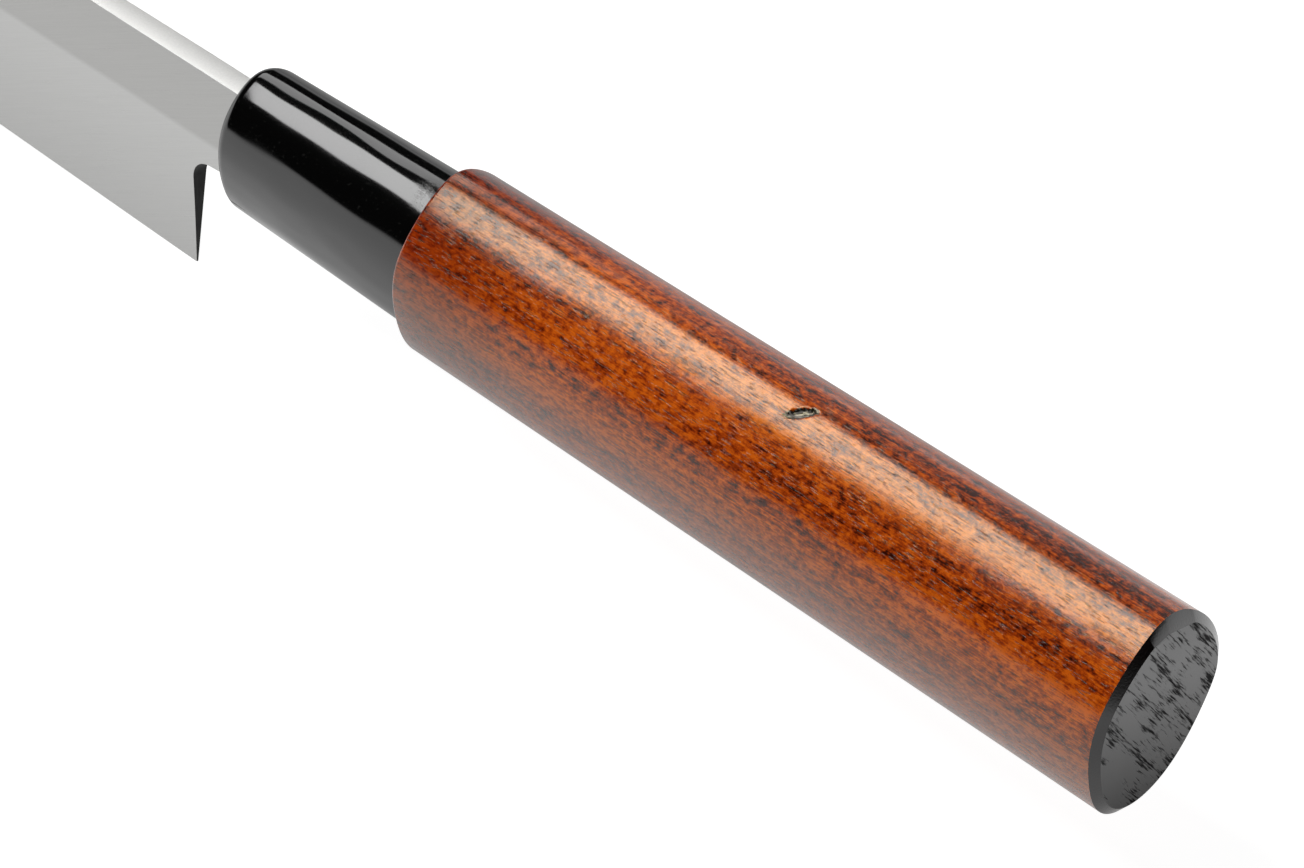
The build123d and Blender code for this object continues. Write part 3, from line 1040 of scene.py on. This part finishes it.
def blade_ring(x, share):
    """The blade's section at x: down the flat back, round the edge and up the bevel to the spine."""
    height = blade_height(share)
    size = height / HEEL_HEIGHT
    thickness = SPINE_THICKNESS + (TIP_THICKNESS - SPINE_THICKNESS) * share
    right_y = LEFT_Y + thickness
    edge_z = SPINE_Z - height
    back_line_z = SPINE_Z - STRIP_HEIGHT * size
    rounding = SPINE_ROUND * size
    bends = [
        (rounding * (1 - math.cos(turn)), SPINE_Z - rounding * (1 - math.sin(turn))) for turn in ROUND_TURNS]
    points = [(LEFT_Y + inward, z) for inward, z in reversed(bends)]
    for step in range(HOLLOW_STEPS + 1):
        down = step / HOLLOW_STEPS
        depth = 4 * HOLLOW_DEPTH * size * down * (1 - down)
        points.append((LEFT_Y + depth, back_line_z + (edge_z - back_line_z) * down))
    points.append((LEFT_Y + EDGE_THICKNESS * size, edge_z))
    points.append((right_y, SPINE_Z - BEVEL_BELOW_SPINE * size))
    points += [(right_y - inward, z) for inward, z in bends]
    return [knife(x, y, z) for y, z in points]


# %% Draw the blade from the tip to the ferrule's bore
# Its belly curves from the tip to the middle, so the sections are close together there.
BELLY_STEPS = 60
STEPS_PER_BLADE = 90
HEEL_SHARES = [0.25, 0.15, 0.08, 0.0]

shares = [1 - step / STEPS_PER_BLADE for step in range(BELLY_STEPS + 1)] + HEEL_SHARES
blade_sections = [blade_ring(HEEL_X - share * BLADE_LENGTH, share) for share in shares]
blade_sections.append(blade_ring(bore_end, 0.0))

steel = solid_through(blade_sections)
print("the blade has", len(blade_sections), "sections of", len(blade_sections[0]), "points")

# %% [markdown]
# The gap behind the heel is cut under the neck, with a rounded inner corner. The cutter is a plate drawn
# in side view whose one corner is bevelled round.

# %% Cut the gap behind the heel
neck_front = SPINE_Z - NECK_HEIGHT - NECK_DROP
neck_back = SPINE_Z - NECK_HEIGHT
below = SPINE_Z - HEEL_HEIGHT - OVERRUN
behind = bore_end + OVERRUN
PLATE_HALF = 2 * SPINE_THICKNESS
NOTCH_SEGMENTS = 10
BEHIND_HEEL_X = knife(-FERRULE_LENGTH - 2, 0, 0).x
BEHIND_HEEL_Z = knife(0, 0, -4).z
ON_SPINE_Z = knife(0, 0, SPINE_Z - 1).z
# The heel's back and the spine are the faces whose normals point that way by more than these parts.
FACES_BEHIND = 0.5
FACES_UP = 0.7

plate = bmesh.new()
outline = [(HEEL_X, neck_front), (behind, neck_back), (behind, below), (HEEL_X + HEEL_SLANT, below)]
plate_corners = [plate.verts.new(knife(x, -PLATE_HALF, z)) for x, z in outline]
plate.faces.new(plate_corners)
bmesh.ops.bevel(plate, geom=[plate_corners[0]], offset=NOTCH_RADIUS * MM, offset_type="OFFSET",
                segments=NOTCH_SEGMENTS, profile=0.5, affect="VERTICES", material=-1)
walls = bmesh.ops.extrude_face_region(plate, geom=list(plate.faces))["geom"]
plate_far = [item for item in walls if isinstance(item, bmesh.types.BMVert)]
bmesh.ops.translate(plate, vec=(0, 2 * PLATE_HALF * MM, 0), verts=plate_far)
bmesh.ops.recalc_face_normals(plate, faces=plate.faces)
steel = cut_away(steel, plate)
for face in steel.faces:
    middle = face.calc_center_median()
    if face.normal.x > FACES_BEHIND and middle.x < BEHIND_HEEL_X and middle.z < BEHIND_HEEL_Z:
        face.material_index = 1
    elif face.normal.z > FACES_UP and middle.z > ON_SPINE_Z:
        face.material_index = 2
print("the gap behind the heel has a radius of", NOTCH_RADIUS, "mm")

# %% [markdown]
# The tang is the tapering part of the blade that is glued into the wood. It is a bar of its own here,
# added to the same mesh, because it is the same piece of steel.

# %% Add the tang
TANG_THICKNESS = 3.0
TANG_FRONT_HEIGHT = 9.6
TANG_END_HEIGHT = 6.0
TANG_DEPTH = 62.0
STEEL_SHARP_DEGREES = 25

tang = bmesh.ops.create_cube(steel, size=MM)["verts"]
bmesh.ops.scale(steel, vec=(TANG_DEPTH - bore_end, TANG_THICKNESS, TANG_FRONT_HEIGHT), verts=tang)
bmesh.ops.translate(steel, vec=knife((TANG_DEPTH + bore_end) / 2, 0, TANG_MIDDLE_Z), verts=tang)
tang_tip = [corner for corner in tang if corner.co.x > knife(0, 0, 0).x]
taper = TANG_END_HEIGHT / TANG_FRONT_HEIGHT
about_middle = Matrix.Translation(-knife(0, 0, TANG_MIDDLE_Z))
bmesh.ops.scale(steel, vec=(1, 1, taper), space=about_middle, verts=tang_tip)
steel_blade = finish_piece("steel_blade", steel, "blade", STEEL_SHARP_DEGREES,
                           [steel_material, heel_material, spine_painted_light_material])

# %% [markdown]
# ## Resin in the mouth and round the tang
#
# A plug of black resin closes the slot round the neck, and a pale adhesive fills the slot round the tang.
# Both keep their measured shapes, and get only a material.

# %% Black sealing resin and pale adhesive
RESIN_BUMP = 0.05 * MM


def resin(name, size, detail, roughness, dark, pale, gloss_roughness):
    """A resin whose colour and surface vary a little with grains of a size in millimetres."""
    material, tree, output = new_material(name)
    place = add(tree, "ShaderNodeTexCoord").outputs["Object"]
    grains = grained_noise(tree, place, size, detail, roughness)
    tone = add(tree, "ShaderNodeValToRGB", {0: grains}, stops=[(0.3, dark), (0.7, pale)])
    bump = add(tree, "ShaderNodeBump", {"Height": grains, "Distance": RESIN_BUMP, "Strength": 0.6})
    shader = add(tree, "ShaderNodeBsdfPrincipled", {
        "Base Color": tone.outputs[0], "Roughness": gloss_roughness, "Normal": bump.outputs[0]})
    tree.links.new(shader.outputs[0], output.inputs[0])
    return material


# The seal was smoothed while wet, so it is half glossy. The adhesive has a chalky filler.
seal_material = resin("black epoxy, smoothed wet", (0.9, 0.9, 0.9), 2.0, 0.5, "#060606", "#121212", 0.22)
bedding_material = resin("pale filled epoxy", (0.5, 0.5, 0.5), 3.0, 0.6, "#A89878", "#CDBF9F", 0.6)
for node, material in (("mouth_seal", seal_material), ("tang_bedding", bedding_material)):
    frame["nodes"][node].material_slots[0].material = material
    print(node, "is", material.name)
